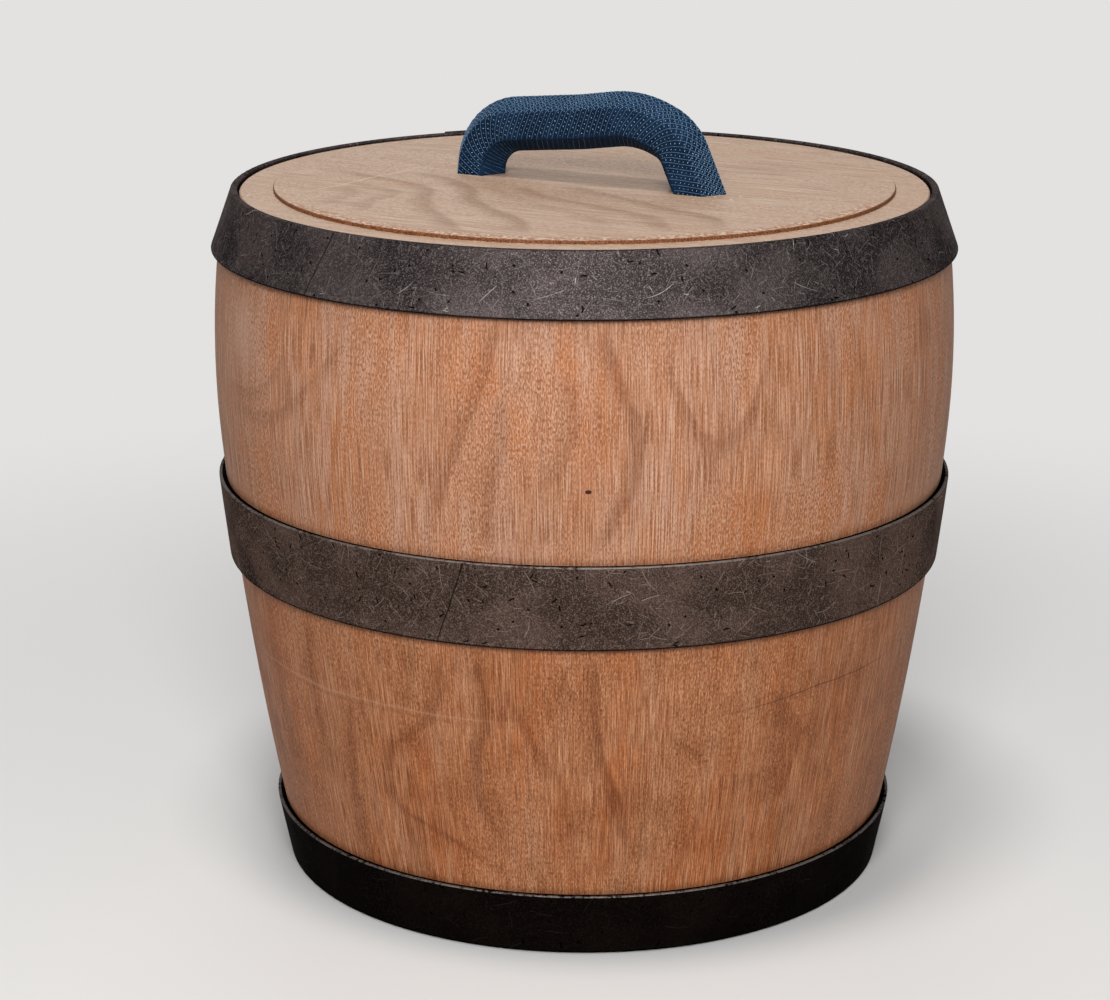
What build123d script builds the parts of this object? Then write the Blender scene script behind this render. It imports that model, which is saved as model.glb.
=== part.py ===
from build123d import *
from math import acos, atan2, cos, degrees, pi, radians, sin, sqrt, tan
import os

# Wooden firkin. Sizes are in millimetres and angles in degrees.
# The vessel stands on z = 0 with its axis on z, and the handle lies along x.

# Staves: a flank arc, a tighter shoulder arc and a straight bevel under the top hoop
stave_count = 18
stave_length = 342.5
stave_wall = 15.5
foot_radius = 154.3
flank_height = 229.5
flank_radius = 189.0
flank_bow = 3.4
shoulder_radius = 188.0
bevel_height = 14.5
chime_bevel_height = 9.0
chime_bevel_depth = 5.0

# Bottom head: boards whose bevelled edge sits in a groove, the croze, inside the staves
croze_height = 30.0
croze_width = 8.0
croze_depth = 5.0
croze_end_gap = 0.4
head_thickness = 15.0
head_bevel_width = 14.0
head_wall_gap = 0.5
head_board_count = 4
head_board_width = 72.0
head_dowel_spread = 70.0

# Hoops: riveted strips that follow the staves; the top one stands up as a collar for the lid
hoop_thickness = 3.8
hoop_edge = 0.7
middle_hoop_low = 167.8
middle_hoop_width = 42.6
bottom_hoop_low = 0.8
bottom_hoop_width = 32.6
collar_radius = 177.0
collar_lip = 1.4
lap_bearing = 135.0
lap_length = 58.0
lap_ramp = 18.0
rivet_pitch = 24.0
rivet_shank_radius = 2.8
rivet_head_radius = 5.6
rivet_head_height = 2.8
rivet_crown_share = 0.9
rivet_seat_depth = 0.25

# Lid: a raised field inside a lower border, resting on the stave ends
lid_clearance = 0.7
border_width = 17.2
border_thickness = 14.5
field_rise = 2.1
field_edge = 0.5
border_edge = 0.6
lid_board_count = 3
lid_board_width = 118.0
lid_dowel_spread = 105.0

# Dowels of both boarded discs
dowel_radius = 4.0
dowel_length = 40.0
dowel_end_gap = 1.0

# Battens under the lid, one below each foot of the handle
batten_width = 36.0
batten_thickness = 16.0
batten_clearance = 2.5
batten_edge = 3.0

# Slotted countersunk screws that hold the battens to the boards
screw_from_joint = 30.0
screw_shank_radius = 2.2
screw_head_radius = 4.4
screw_bite = 11.0
screw_tip = 3.0
slot_width = 1.2
slot_depth = 1.3

# Handle: a hexagonal bow in a cloth sleeve; its corners are the feet and four bends.
# The legs lean in from their feet. A share is how much of a straight run one bend may take up.
handle_sides = 6
low_foot_reach = 61.1
high_foot_reach = 65.3
handle_radius = 14.2
wrap_thickness = 1.2
wrap_corner = 1.6
core_corner = 1.0
low_bend_rise = 24.8
low_bend_lean = 2.9
high_bend_rise = 25.5
high_bend_lean = 11.4
hump_rise = 35.2
hump_inset = 33.9
dip_rise = 30.4
dip_from_hump = 32.1
low_bend_radius = 24.6
dip_radius = 120.0
hump_radius = 47.0
high_bend_radius = 21.6
leg_share = 0.9
run_share = 0.42
hump_share = 0.55

# Screws and washers that hold the handle from under the battens
handle_screw_radius = 3.0
handle_screw_bite = 15.0
handle_screw_head_radius = 6.0
handle_screw_head_height = 3.6
washer_radius = 9.0
washer_thickness = 1.6

# Heights and radii that follow from the sizes above
shoulder_height = stave_length - bevel_height
border_top = stave_length + border_thickness
lid_top = border_top + field_rise
collar_top = border_top + collar_lip
collar_slope = (collar_radius - shoulder_radius) / (collar_top - shoulder_height)
collar_seat_radius = shoulder_radius + collar_slope * bevel_height
mouth_radius = collar_seat_radius - stave_wall
lid_radius = min(collar_radius, collar_seat_radius) - lid_clearance
field_radius = lid_radius - border_width
foot_places = (-low_foot_reach, high_foot_reach)
stave_angle = 360 / stave_count
middle_hoop_high = middle_hoop_low + middle_hoop_width
bottom_hoop_high = bottom_hoop_low + bottom_hoop_width

# How a solid is placed on its own origin: standing on it or hanging from it
on_floor = (Align.CENTER, Align.CENTER, Align.MIN)
hung = (Align.CENTER, Align.CENTER, Align.MAX)


def outline(offset, top):
    """Outer line of the staves as radius and height, moved out by offset and ended at top."""
    flank = SagittaArc((foot_radius + offset, 0), (flank_radius + offset, flank_height), -flank_bow)
    shoulder = TangentArc(flank @ 1, (shoulder_radius + offset, shoulder_height), tangent=flank % 1)
    bevel_end = (shoulder_radius + offset + collar_slope * (top - shoulder_height), top)
    return flank, shoulder, Line(shoulder @ 1, bevel_end)


def filled_outline(offset, top):
    """Everything between the axis and the outline."""
    curves = outline(offset, top)
    closing = Polyline(curves[-1] @ 1, (0, top), (0, 0), curves[0] @ 0)
    return make_face(Curve() + list(curves) + closing)


def stave_reach(height):
    """Radius of the staves' outer line at a height."""
    if height >= shoulder_height:
        return shoulder_radius + collar_slope * (height - shoulder_height)
    flank, shoulder, _ = outline(0, stave_length)
    arc = flank if height < flank_height else shoulder
    centre = arc.arc_center
    return centre.X + sqrt(arc.radius**2 - (height - centre.Y) ** 2)


def turned(section, sweep=360.0, start=0.0):
    """A section of radius and height turned about the vessel's axis."""
    return Rot(0, 0, start) * revolve(Plane.XZ * section, Axis.Z, sweep)


def rectangle(left, right, low, high):
    """A flat rectangle between two radii and two heights."""
    return Pos((left + right) / 2, (low + high) / 2) * Rectangle(right - left, high - low)


def stave_section():
    """Stave cut along the axis, with its croze and the bevel inside its foot."""
    inner_foot = foot_radius - stave_wall
    croze_wall = stave_reach(croze_height) - stave_wall
    croze = rectangle(
        inner_foot, croze_wall + croze_depth, croze_height - croze_width / 2, croze_height + croze_width / 2
    )
    bevel_rise = stave_reach(chime_bevel_height) - stave_wall
    chime = make_face(
        Polyline(
            (inner_foot - chime_bevel_depth, 0),
            (inner_foot + chime_bevel_depth, 0),
            (bevel_rise, chime_bevel_height),
            (inner_foot - chime_bevel_depth, chime_bevel_height),
            close=True,
        )
    )
    wall = filled_outline(0, stave_length) - filled_outline(-stave_wall, stave_length)
    return wall - croze - chime


def make_staves():
    """Staves of equal width that meet on planes through the axis."""
    section = stave_section()
    starts = [(i - 0.5) * stave_angle for i in range(stave_count)]
    return {f"stave_{i + 1:02d}": turned(section, stave_angle, start) for i, start in enumerate(starts)}


def split_boards(disc, count, width, reach):
    """Cut a disc into boards along x: equal middle boards and two outer ones that run to the rim."""
    joints = [(i - count / 2) * width for i in range(1, count)]
    edges = [-reach, *joints, reach]
    height = 2 * disc.bounding_box().max.Z
    boards = []
    for low, high in zip(edges, edges[1:]):
        boards.append(disc & Pos(0, (low + high) / 2, 0) * Box(2 * reach, high - low, height))
    return boards, joints


def dowel_places(joints, across, height):
    """Dowel centres on every joint between boards."""
    return [Pos(x, y, height) * Rot(90, 0, 0) for y in joints for x in across]


def dowelled(boards, places):
    """Boards with their dowel holes, and the dowels."""
    holes = [place * Cylinder(dowel_radius, dowel_length + 2 * dowel_end_gap) for place in places]
    dowels = [place * Cylinder(dowel_radius, dowel_length) for place in places]
    return [board - holes for board in boards], dowels


def make_bottom():
    """Bottom head of dowelled boards with an edge thinned to fit the croze."""
    low = croze_height - head_thickness / 2
    high = croze_height + head_thickness / 2
    tongue_low = croze_height - croze_width / 2
    tongue_high = croze_height + croze_width / 2
    tongue_root = stave_reach(low) - stave_wall - head_wall_gap
    tongue_end = stave_reach(croze_height) - stave_wall + croze_depth - croze_end_gap
    flat_end = tongue_root - head_bevel_width
    section = make_face(
        Polyline(
            (0, low),
            (flat_end, low),
            (tongue_root, tongue_low),
            (tongue_end, tongue_low),
            (tongue_end, tongue_high),
            (tongue_root, tongue_high),
            (flat_end, high),
            (0, high),
            close=True,
        )
    )
    boards, joints = split_boards(turned(section), head_board_count, head_board_width, tongue_end)
    places = dowel_places(joints, (-head_dowel_spread, head_dowel_spread), croze_height)
    boards, dowels = dowelled(boards, places)
    pieces = {f"bottom_board_{i + 1}": board for i, board in enumerate(boards)}
    return pieces | {"bottom_dowels": dowels}


def strip_section(low, high, layers):
    """Hoop strip on the staves, one or more layers thick, with its edges eased."""
    strip = filled_outline(layers * hoop_thickness, collar_top) - filled_outline(0, collar_top)
    reach = strip.bounding_box().max.X
    strip &= rectangle(0, reach, low, high)
    return fillet(strip.vertices(), hoop_edge)


def on_hoop(low, high, layers, along):
    """Plane on a hoop's outside at mid height, a length along the strip from the lap's middle."""
    middle = (low + high) / 2
    reach = stave_reach(middle) + layers * hoop_thickness
    lean = (stave_reach(high) - stave_reach(low)) / (high - low)
    bearing = radians(lap_bearing) + along / reach
    return Plane(
        origin=(reach * cos(bearing), reach * sin(bearing), middle),
        x_dir=(-sin(bearing), cos(bearing), 0),
        z_dir=(cos(bearing), sin(bearing), -lean),
    )


def make_rivet(seat):
    """Domed rivet through both layers of a lap, before its tail is trimmed to the staves."""
    head = Cylinder(rivet_head_radius, rivet_head_height, align=on_floor)
    head = fillet(head.edges().sort_by(Axis.Z)[-1], rivet_crown_share * rivet_head_height)
    shank = Cylinder(rivet_shank_radius, 2 * hoop_thickness + stave_wall, align=hung)
    return seat * (head + shank)


def make_hoop(name, low, high):
    """Hoop with a lap that ramps over its own end, and the two rivets that close it."""
    lap_sweep = degrees(lap_length / (stave_reach((low + high) / 2) + 2 * hoop_thickness))
    ring = turned(strip_section(low, high, 1), 360 - lap_sweep, lap_bearing + lap_sweep / 2)
    lap = turned(strip_section(low, high, 2), lap_sweep, lap_bearing - lap_sweep / 2)
    ramp_foot = on_hoop(low, high, 1, -lap_length / 2)
    ramp_tilt = degrees(atan2(hoop_thickness, lap_ramp))
    waste = Box(2 * lap_length, 2 * (high - low), lap_length, align=on_floor)
    lap -= ramp_foot * Rot(0, -ramp_tilt, 0) * waste
    staves = turned(filled_outline(0, collar_top))
    seats = [on_hoop(low, high, 2, side * rivet_pitch / 2).offset(-rivet_seat_depth) for side in (-1, 1)]
    rivets = [make_rivet(seat) - staves for seat in seats]
    return {f"{name}_hoop": ring + lap - rivets, f"{name}_hoop_rivets": rivets}


def make_hoops():
    """Three riveted hoops."""
    return (
        make_hoop("top", shoulder_height, collar_top)
        | make_hoop("middle", middle_hoop_low, middle_hoop_high)
        | make_hoop("bottom", bottom_hoop_low, bottom_hoop_high)
    )


def wood_screw():
    """Countersunk screw, head down at the origin, pointing up."""
    length = batten_thickness + screw_bite
    body = make_face(
        Polyline(
            (0, 0),
            (screw_head_radius, 0),
            (screw_shank_radius, screw_head_radius - screw_shank_radius),
            (screw_shank_radius, length - screw_tip),
            (0, length),
            close=True,
        )
    )
    return turned(body)


def screw_slot():
    """Cut across a screw's head."""
    return Box(2 * screw_head_radius, slot_width, 2 * slot_depth)


def run_on(bend, foot):
    """End of a leg, carried on below the lid so that its foot can be trimmed level."""
    return foot + (foot - bend).normalized() * handle_radius


def handle_corners():
    """Corners of the bow in its own plane, as distance along x and height above the lid."""
    low_foot, high_foot = (Vector(x, 0) for x in foot_places)
    low_bend = low_foot + Vector(low_bend_lean, low_bend_rise)
    high_bend = high_foot + Vector(-high_bend_lean, high_bend_rise)
    hump = high_foot + Vector(-hump_inset, hump_rise)
    dip = Vector(hump.X - dip_from_hump, dip_rise)
    return [run_on(low_bend, low_foot), low_bend, dip, hump, high_bend, run_on(high_bend, high_foot)]


def bend_radius(before, corner, after, wanted, share_before, share_after):
    """The wanted radius, or the largest whose tangents stay within their shares of the two runs."""
    back = before - corner
    ahead = after - corner
    half_angle = acos(back.normalized().dot(ahead.normalized())) / 2
    reach = min(share_before * back.length, share_after * ahead.length)
    return min(wanted, reach * tan(half_angle))


def handle_path():
    """Centreline of the bow: straight runs joined by tangent arcs, through the lid's top at both feet."""
    corners = handle_corners()
    wanted = (low_bend_radius, dip_radius, hump_radius, high_bend_radius)
    shares_before = (leg_share, run_share, hump_share, run_share)
    shares_after = (run_share, run_share, hump_share, leg_share)
    bends = zip(corners, corners[1:], corners[2:], wanted, shares_before, shares_after)
    radii = [bend_radius(*bend) for bend in bends]
    return Plane.XZ * Pos(0, lid_top) * FilletPolyline(*corners, radius=radii)


def handle_bar(radius, corner):
    """Hexagonal bar along the bow, edges on its crown and flats at its sides, trimmed level at the lid."""
    path = handle_path()
    polygon = RegularPolygon(radius, handle_sides)
    section = fillet(polygon.vertices(), corner)
    bar = sweep(Plane(origin=path @ 0, x_dir=(1, 0, 0), z_dir=path % 0) * section, path)
    return bar & Pos(0, 0, lid_top) * Cylinder(lid_radius, lid_radius, align=on_floor)


def handle_screw():
    """Round-headed screw, seat at the origin, pointing up through washer, batten and lid."""
    length = washer_thickness + batten_thickness + lid_top - stave_length + handle_screw_bite
    shank = Cylinder(handle_screw_radius, length, align=on_floor)
    head = Cylinder(handle_screw_head_radius, handle_screw_head_height, align=hung)
    head = fillet(head.edges().sort_by(Axis.Z)[0], handle_screw_head_height / 2)
    slot = Box(2 * handle_screw_head_radius, slot_width, 2 * slot_depth)
    return shank + head - Pos(0, 0, -handle_screw_head_height) * slot


def make_handle():
    """Bow, cloth sleeve, and the screws and washers that hold it."""
    core_radius = handle_radius - wrap_thickness / cos(pi / handle_sides)
    batten_low = stave_length - batten_thickness
    feet = [Pos(x, 0, batten_low - washer_thickness) for x in foot_places]
    screws = [foot * handle_screw() for foot in feet]
    washer = Cylinder(washer_radius, washer_thickness, align=on_floor)
    core = handle_bar(core_radius, core_corner)
    return {
        "handle_core": core - screws,
        "handle_wrap": handle_bar(handle_radius, wrap_corner) - core,
        "handle_screws": screws,
        "handle_washers": [foot * washer - screws for foot in feet],
    }


def make_batten(x):
    """Batten across the boards with rounded ends that follow the mouth."""
    bar = Pos(x, 0, stave_length) * Box(batten_width, 2 * mouth_radius, batten_thickness, align=hung)
    lower_edges = bar.edges().filter_by(Axis.Y).group_by(Axis.Z)[0]
    bar = chamfer(lower_edges, batten_edge)
    return bar & Cylinder(mouth_radius - batten_clearance, 2 * stave_length)


def make_lid(handle_screws):
    """Dowelled lid boards, and the battens screwed across them."""
    section = make_face(
        Polyline(
            (0, stave_length),
            (lid_radius, stave_length),
            (lid_radius, border_top - border_edge),
            (lid_radius - border_edge, border_top),
            (field_radius, border_top),
            (field_radius, lid_top - field_edge),
            (field_radius - field_edge, lid_top),
            (0, lid_top),
            close=True,
        )
    )
    boards, joints = split_boards(turned(section), lid_board_count, lid_board_width, lid_radius)
    across = (-lid_dowel_spread, 0, lid_dowel_spread)
    boards, dowels = dowelled(boards, dowel_places(joints, across, stave_length + border_thickness / 2))
    batten_low = stave_length - batten_thickness
    screw_rows = [joint + side * screw_from_joint for joint in joints for side in (-1, 1)]
    places = [Pos(x, y, batten_low) for x in foot_places for y in screw_rows]
    screws = [place * wood_screw() for place in places]
    fastened = screws + handle_screws
    battens = [make_batten(x) - fastened for x in foot_places]
    pieces = {f"lid_board_{i + 1}": board - fastened for i, board in enumerate(boards)}
    return pieces | {
        "lid_dowels": dowels,
        "lid_batten_1": battens[0],
        "lid_batten_2": battens[1],
        "batten_screws": [place * (wood_screw() - screw_slot()) for place in places],
    }


def save(pieces):
    """Write one file per node; a list is a group of separate solids."""
    os.makedirs("parts", exist_ok=True)
    for name, piece in pieces.items():
        solids = [s for part in piece for s in part.solids()] if isinstance(piece, list) else piece.solids()
        shape = solids[0] if len(solids) == 1 else Compound(children=solids)
        export_step(shape, f"parts/{name}.step")
        print(name, len(solids))


handle = make_handle()
save(make_staves() | make_bottom() | make_hoops() | make_lid(handle["handle_screws"]) | handle)
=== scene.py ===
import math

import bmesh
import bpy
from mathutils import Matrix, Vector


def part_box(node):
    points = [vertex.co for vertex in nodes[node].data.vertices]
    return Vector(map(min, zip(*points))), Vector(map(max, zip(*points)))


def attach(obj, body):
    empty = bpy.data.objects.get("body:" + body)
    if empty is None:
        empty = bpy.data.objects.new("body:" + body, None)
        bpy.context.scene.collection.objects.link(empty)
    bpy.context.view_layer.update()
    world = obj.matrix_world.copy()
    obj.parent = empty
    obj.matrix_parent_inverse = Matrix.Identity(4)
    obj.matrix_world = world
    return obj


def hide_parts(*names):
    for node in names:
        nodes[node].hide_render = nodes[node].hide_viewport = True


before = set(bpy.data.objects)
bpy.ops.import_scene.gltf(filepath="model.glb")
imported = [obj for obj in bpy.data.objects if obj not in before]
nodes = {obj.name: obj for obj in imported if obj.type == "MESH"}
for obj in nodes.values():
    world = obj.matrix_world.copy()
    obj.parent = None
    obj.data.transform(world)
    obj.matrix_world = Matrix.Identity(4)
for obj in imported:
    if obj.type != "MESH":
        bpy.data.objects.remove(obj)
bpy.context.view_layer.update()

# Wooden firkin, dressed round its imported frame. Lengths are in metres, bearings in degrees.
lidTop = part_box("lid_board_2")[1].z
print("frame loaded:", len(nodes), "nodes")


# A wired socket that takes part in sums: each sum adds its Math node
class Wire:
    def __init__(self, board, socket):
        self.board = board
        self.socket = socket

    def maths(self, operation, *values):
        return self.board.node("ShaderNodeMath", {"operation": operation}, dict(enumerate(values)))

    def __add__(self, other):
        return self.maths("ADD", self, other)

    def __radd__(self, other):
        return self.maths("ADD", other, self)

    def __sub__(self, other):
        return self.maths("SUBTRACT", self, other)

    def __rsub__(self, other):
        return self.maths("SUBTRACT", other, self)

    def __mul__(self, other):
        return self.maths("MULTIPLY", self, other)

    def __truediv__(self, other):
        return self.maths("DIVIDE", self, other)

    def __rtruediv__(self, other):
        return self.maths("DIVIDE", other, self)

    def __abs__(self):
        return self.maths("ABSOLUTE", self)

    def root(self):
        return self.maths("SQRT", self)

    def cosine(self):
        return self.maths("COSINE", self)

    def sine(self):
        return self.maths("SINE", self)

    def most(self, other):
        return self.maths("MAXIMUM", self, other)

    def least(self, other):
        return self.maths("MINIMUM", self, other)

    def swing(self, most):  # a noise of 0 to 1 as a swing to either side
        return (self - 0.5) * most

    def beside(self, output):  # another output of the same node
        return Wire(self.board, self.socket.node.outputs[output])


# The nodes of one material or one Geometry Nodes tree
class Board:
    mixColours = (6, 7)  # sockets A and B of a Mix node that is set to colours
    mixResult = 2

    def __init__(self, tree):
        self.tree = tree

    def node(self, kind, settings=None, values=None, output=0):
        made = self.tree.nodes.new(kind)
        for label, setting in (settings or {}).items():
            if label == "points":
                self.draw(made.mapping, setting)
            else:
                setattr(made, label, setting)
        for label, value in (values or {}).items():
            if isinstance(value, Wire):
                self.tree.links.new(value.socket, made.inputs[label])
            else:
                made.inputs[label].default_value = value
        return Wire(self, made.outputs[output]) if made.outputs else None

    def draw(self, mapping, points):  # the line of a curve node, from left to right
        line = mapping.curves[0].points
        line[0].location = points[0]
        line[1].location = points[-1]
        for at, level in points[1:-1]:
            line.new(at, level)
        mapping.update()

    def mix(self, share, first, second, blend="MIX"):
        a, b = self.mixColours
        settings = {"data_type": "RGBA", "blend_type": blend}
        return self.node("ShaderNodeMix", settings, {"Factor": share, a: first, b: second}, self.mixResult)

    def ease(self, value, start, end):  # 0 at start, 1 at end and smooth between, whichever is higher
        values = {"Value": value, "From Min": start, "From Max": end}
        return self.node("ShaderNodeMapRange", {"interpolation_type": "SMOOTHSTEP"}, values)

    def vector(self, operation, first, second, label=1):
        return self.node("ShaderNodeVectorMath", {"operation": operation}, {0: first, label: second})

    def noise(self, place, scale, detail=2.0):
        values = {"Vector": place, "Scale": scale, "Detail": detail}
        return self.node("ShaderNodeTexNoise", None, values)

    def axes(self, place):
        split = self.node("ShaderNodeSeparateXYZ", None, {"Vector": place})
        return [split.beside(axis) for axis in "XYZ"]


def paint(red, green, blue):  # a screen colour of 0 to 255 as the linear colour of a socket
    screenMost = 255
    gamma = 2.2
    return tuple((level / screenMost) ** gamma for level in (red, green, blue)) + (1.0,)


def newFinish(name):
    material = bpy.data.materials.new(name)
    material.use_nodes = True
    material.node_tree.nodes.clear()
    board = Board(material.node_tree)
    place = board.node("ShaderNodeTexCoord", None, None, "Object")
    return material, board, place


def shade(board, colour, roughness, height, bumpDepth, fixed=None):
    bump = board.node("ShaderNodeBump", None, {"Height": height, "Distance": bumpDepth})
    values = {"Base Color": colour, "Roughness": roughness, "Normal": bump}
    return board.node("ShaderNodeBsdfPrincipled", None, values | (fixed or {}))


def close(board, shader):
    board.node("ShaderNodeOutputMaterial", None, {"Surface": shader})


# Bearing and height round the vessel: the seam of the unrolled sheet lies at the hoops' laps
frontBearing = math.radians(-61.66)  # the side that faces the photograph's camera
seamBearing = math.radians(135)
middleBearing = seamBearing - math.pi
bodyRadius = 0.188


def unrolled(board, place):
    x, y, z = board.axes(place)
    turnedX = x * math.cos(middleBearing) + y * math.sin(middleBearing)
    turnedY = y * math.cos(middleBearing) - x * math.sin(middleBearing)
    bearing = board.node("ShaderNodeMath", {"operation": "ARCTAN2"}, {0: turnedY, 1: turnedX})
    return bearing + (middleBearing - frontBearing), z


# How far a point lies inside an oval mark: 1 at its middle, 0 at its rim and beyond
def oval(board, across, up, middle, reach):
    aside = (across - middle[0]) / reach[0]
    above = (up - middle[1]) / reach[1]
    return board.ease((aside * aside + above * above).root(), 1.0, 0.0)


# Where a line through points of (across, up), from low to high, lies at a height, and its share of the rise
def lineAt(board, up, points):
    low, high = points[0][1], points[-1][1]
    left = min(point[0] for point in points)
    width = max(point[0] for point in points) - left or 1.0
    settings = {"points": [((rise - low) / (high - low), (side - left) / width) for side, rise in points]}
    rise = (up - low) / (high - low)
    return board.node("ShaderNodeFloatCurve", settings, {"Value": rise}) * width + left, rise


# A mark along such a line, soft on its left and crisp on its right
def drawnLine(board, across, up, line):
    middle, rise = lineAt(board, up, line["points"])
    aside = across - middle
    mark = board.ease(aside, -line["soft"], 0.0) * board.ease(aside, line["crisp"], 0.0)
    return mark * board.ease(rise, 0.0, line["fade"]) * board.ease(rise, 1.0, 1 - line["fade"])


woodLooks = {
    "stave": {
        "grainAxis": 2,
        "base": paint(184, 128, 95),
        "pale": paint(214, 168, 140),
        "dark": paint(140, 86, 55),
        "warm": paint(190, 117, 70),
        "ashen": paint(196, 152, 128),
        "scratch": paint(84, 46, 28),
        "figure": (0.65, 0.56, 0.48, 1.0),
        "softFigure": (0.66, 0.57, 0.49, 1.0),
        "ashenTint": (1.06, 1.14, 1.24, 1.0),
        "warmTint": (0.98, 0.88, 0.76, 1.0),
        "bands": 9.0,
        "bandShare": 0.7,
    },
    # paler and greyer than the staves: partly a paler board, partly painted sheen; the battens and dowels
    # take these tones too
    "lid": {
        "grainAxis": 0,
        "base": paint(180, 150, 127),
        "pale": paint(197, 171, 150),
        "dark": paint(150, 119, 96),
        "warm": paint(178, 144, 117),
        "ashen": paint(184, 159, 140),
        "crease": paint(214, 190, 168),
        "figure": (0.73, 0.66, 0.6, 1.0),
        "bands": 12.0,
        "bandShare": 0.4,
    },
}
woodLooks["bottom"] = dict(woodLooks["stave"], grainAxis=0)
woodLooks["batten"] = dict(woodLooks["lid"], grainAxis=1)
woodLooks["dowel"] = dict(woodLooks["lid"], grainAxis=1)
woodLooks["handle"] = dict(woodLooks["stave"], grainAxis=0)

# Each layer of the grain: its noise, how far it is drawn out along the wood, where it shows and how much.
# Lines and specks take turns: one is strong where the other is weak.
woodLayers = (
    {"tone": "warm", "scale": 30.0, "drawn": 0.4, "detail": 2.0, "shows": (0.42, 0.62), "share": 0.75,
     "kind": "broad"},
    {"tone": "ashen", "scale": 95.0, "drawn": 0.12, "detail": 3.0, "shows": (0.46, 0.68), "share": 0.65,
     "kind": "broad"},
    {"tone": "dark", "scale": 230.0, "drawn": 0.05, "detail": 2.0, "shows": (0.46, 0.3), "share": 0.4,
     "kind": "broad"},
    {"tone": "pale", "scale": 1500.0, "drawn": 0.025, "detail": 0.0, "shows": (0.5, 0.64), "share": 0.75,
     "kind": "lines"},
    {"tone": "dark", "scale": 1650.0, "drawn": 0.025, "detail": 0.0, "shows": (0.5, 0.36), "share": 0.85,
     "kind": "lines"},
    {"tone": "pale", "scale": 1450.0, "drawn": 0.35, "detail": 0.0, "shows": (0.52, 0.65), "share": 0.65,
     "kind": "specks"},
    {"tone": "dark", "scale": 1550.0, "drawn": 0.35, "detail": 0.0, "shows": (0.48, 0.35), "share": 0.75,
     "kind": "specks"},
)
woodGrain = {
    "poreScale": 1300.0,
    "poreDrawn": 0.08,
    "poreDetail": 1.0,
    "turnScale": 24.0,
    "turnShows": (0.42, 0.58),
    "turnLeast": 0.45,
    "bandScale": 6.0,
    "bandDrawn": 0.4,
    "bandRise": (0.3, 0.86),
    "bandFall": (1.0, 0.88),
    "bumpDepth": 0.00012,
    "roughness": 0.62,
    "roughSpread": 0.25,
    "gloss": 0.3,
}


def drawnAlong(look, drawn):  # shrinks coordinates along the grain, so that a noise is drawn out
    return [drawn if axis == look["grainAxis"] else 1.0 for axis in range(3)]


def grain(board, place, look, bandMask=1.0):
    figured = board.vector("MULTIPLY", place, drawnAlong(look, woodGrain["bandDrawn"]))
    field = board.noise(figured, woodGrain["bandScale"]) * look["bands"]
    band = field.maths("FRACT", field)
    late = board.ease(band, *woodGrain["bandRise"]) * board.ease(band, *woodGrain["bandFall"])
    colour = board.mix(late * look["bandShare"] * bandMask, look["base"], look["figure"], "MULTIPLY")
    lined = board.ease(board.noise(figured, woodGrain["turnScale"]), *woodGrain["turnShows"])
    low = woodGrain["turnLeast"]
    strength = {"broad": 1.0, "lines": low + lined * (1 - low), "specks": 1 - lined * (1 - low)}
    for layer in woodLayers:
        drawn = board.vector("MULTIPLY", place, drawnAlong(look, layer["drawn"]))
        seen = board.ease(board.noise(drawn, layer["scale"], layer["detail"]), *layer["shows"])
        colour = board.mix(seen * strength[layer["kind"]] * layer["share"], colour, look[layer["tone"]])
    drawn = board.vector("MULTIPLY", place, drawnAlong(look, woodGrain["poreDrawn"]))
    pores = board.noise(drawn, woodGrain["poreScale"], woodGrain["poreDetail"])
    return colour, pores


def closeWood(board, colour, pores):
    roughness = woodGrain["roughness"] + pores.swing(woodGrain["roughSpread"])
    fixed = {"Specular IOR Level": woodGrain["gloss"]}
    close(board, shade(board, colour, roughness, pores, woodGrain["bumpDepth"], fixed))


def plainWood(name):
    material, board, place = newFinish(name + "Wood")
    colour, pores = grain(board, place, woodLooks[name])
    closeWood(board, colour, pores)
    return material


# Marks on the staves. Points are bearing from the photograph's front in degrees and height, low to high.
growthFade = 0.15  # the share of a line over which each of its ends fades
stripeFade = 0.3


def growth(share, *points, soft=2.8, crisp=1.2, tone="figure"):
    return {"tone": tone, "blend": "MULTIPLY", "share": share, "points": points,
            "soft": soft, "crisp": crisp, "fade": growthFade}


def stripe(tone, share, half, *points):
    return {"tone": tone, "blend": "MIX", "share": share, "points": points,
            "soft": half, "crisp": half, "fade": stripeFade}


def zone(tone, share, half, *points):  # a broad run of paler or warmer wood
    return dict(stripe(tone, share, half, *points), blend="MULTIPLY")


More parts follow.
